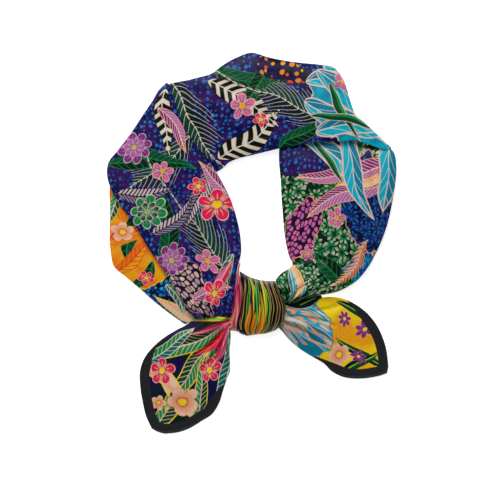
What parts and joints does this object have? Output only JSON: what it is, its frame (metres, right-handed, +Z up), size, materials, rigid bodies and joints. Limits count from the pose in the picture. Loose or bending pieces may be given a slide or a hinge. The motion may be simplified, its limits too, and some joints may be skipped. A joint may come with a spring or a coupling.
{
  "type": "silk square scarf",
  "caption": "Printed silk square folded on the bias to a soft band, knotted once into a ring and laid flat with its dark-edged corners fanned out.",
  "frame": {"origin": "on the surface that the scarf lies on, under the middle of its bounding box", "axes": "+Z up out of the surface, +Y from the knot to the far side of the ring, +X to the right seen from above"},
  "size_m": [0.315, 0.4158, 0.0293],
  "materials": {
    "violet_print_silk": "silk twill, screen-printed, soft satin sheen",
    "orange_print_silk": "silk twill, screen-printed, soft satin sheen",
    "stripe_and_leaf_print_silk": "silk twill, screen-printed, soft satin sheen",
    "turquoise_print_silk": "silk twill, screen-printed, soft satin sheen",
    "yellow_print_silk": "silk twill, screen-printed, soft satin sheen",
    "pink_print_silk": "silk twill, screen-printed, soft satin sheen",
    "leaf_print_silk": "silk twill, screen-printed, soft satin sheen",
    "dark_hem_silk": "silk twill, printed charcoal border with a hand-rolled hem"
  },
  "bodies": {
    "root": {"left_band": "violet_print_silk", "left_under_layer": "orange_print_silk", "top_band": "stripe_and_leaf_print_silk", "right_band": "turquoise_print_silk", "knot_wrap": "yellow_print_silk", "knot_strand": "pink_print_silk", "right_turned_edge": "dark_hem_silk", "left_tail": "leaf_print_silk", "right_tail": "yellow_print_silk"}
  },
  "joints": []
}
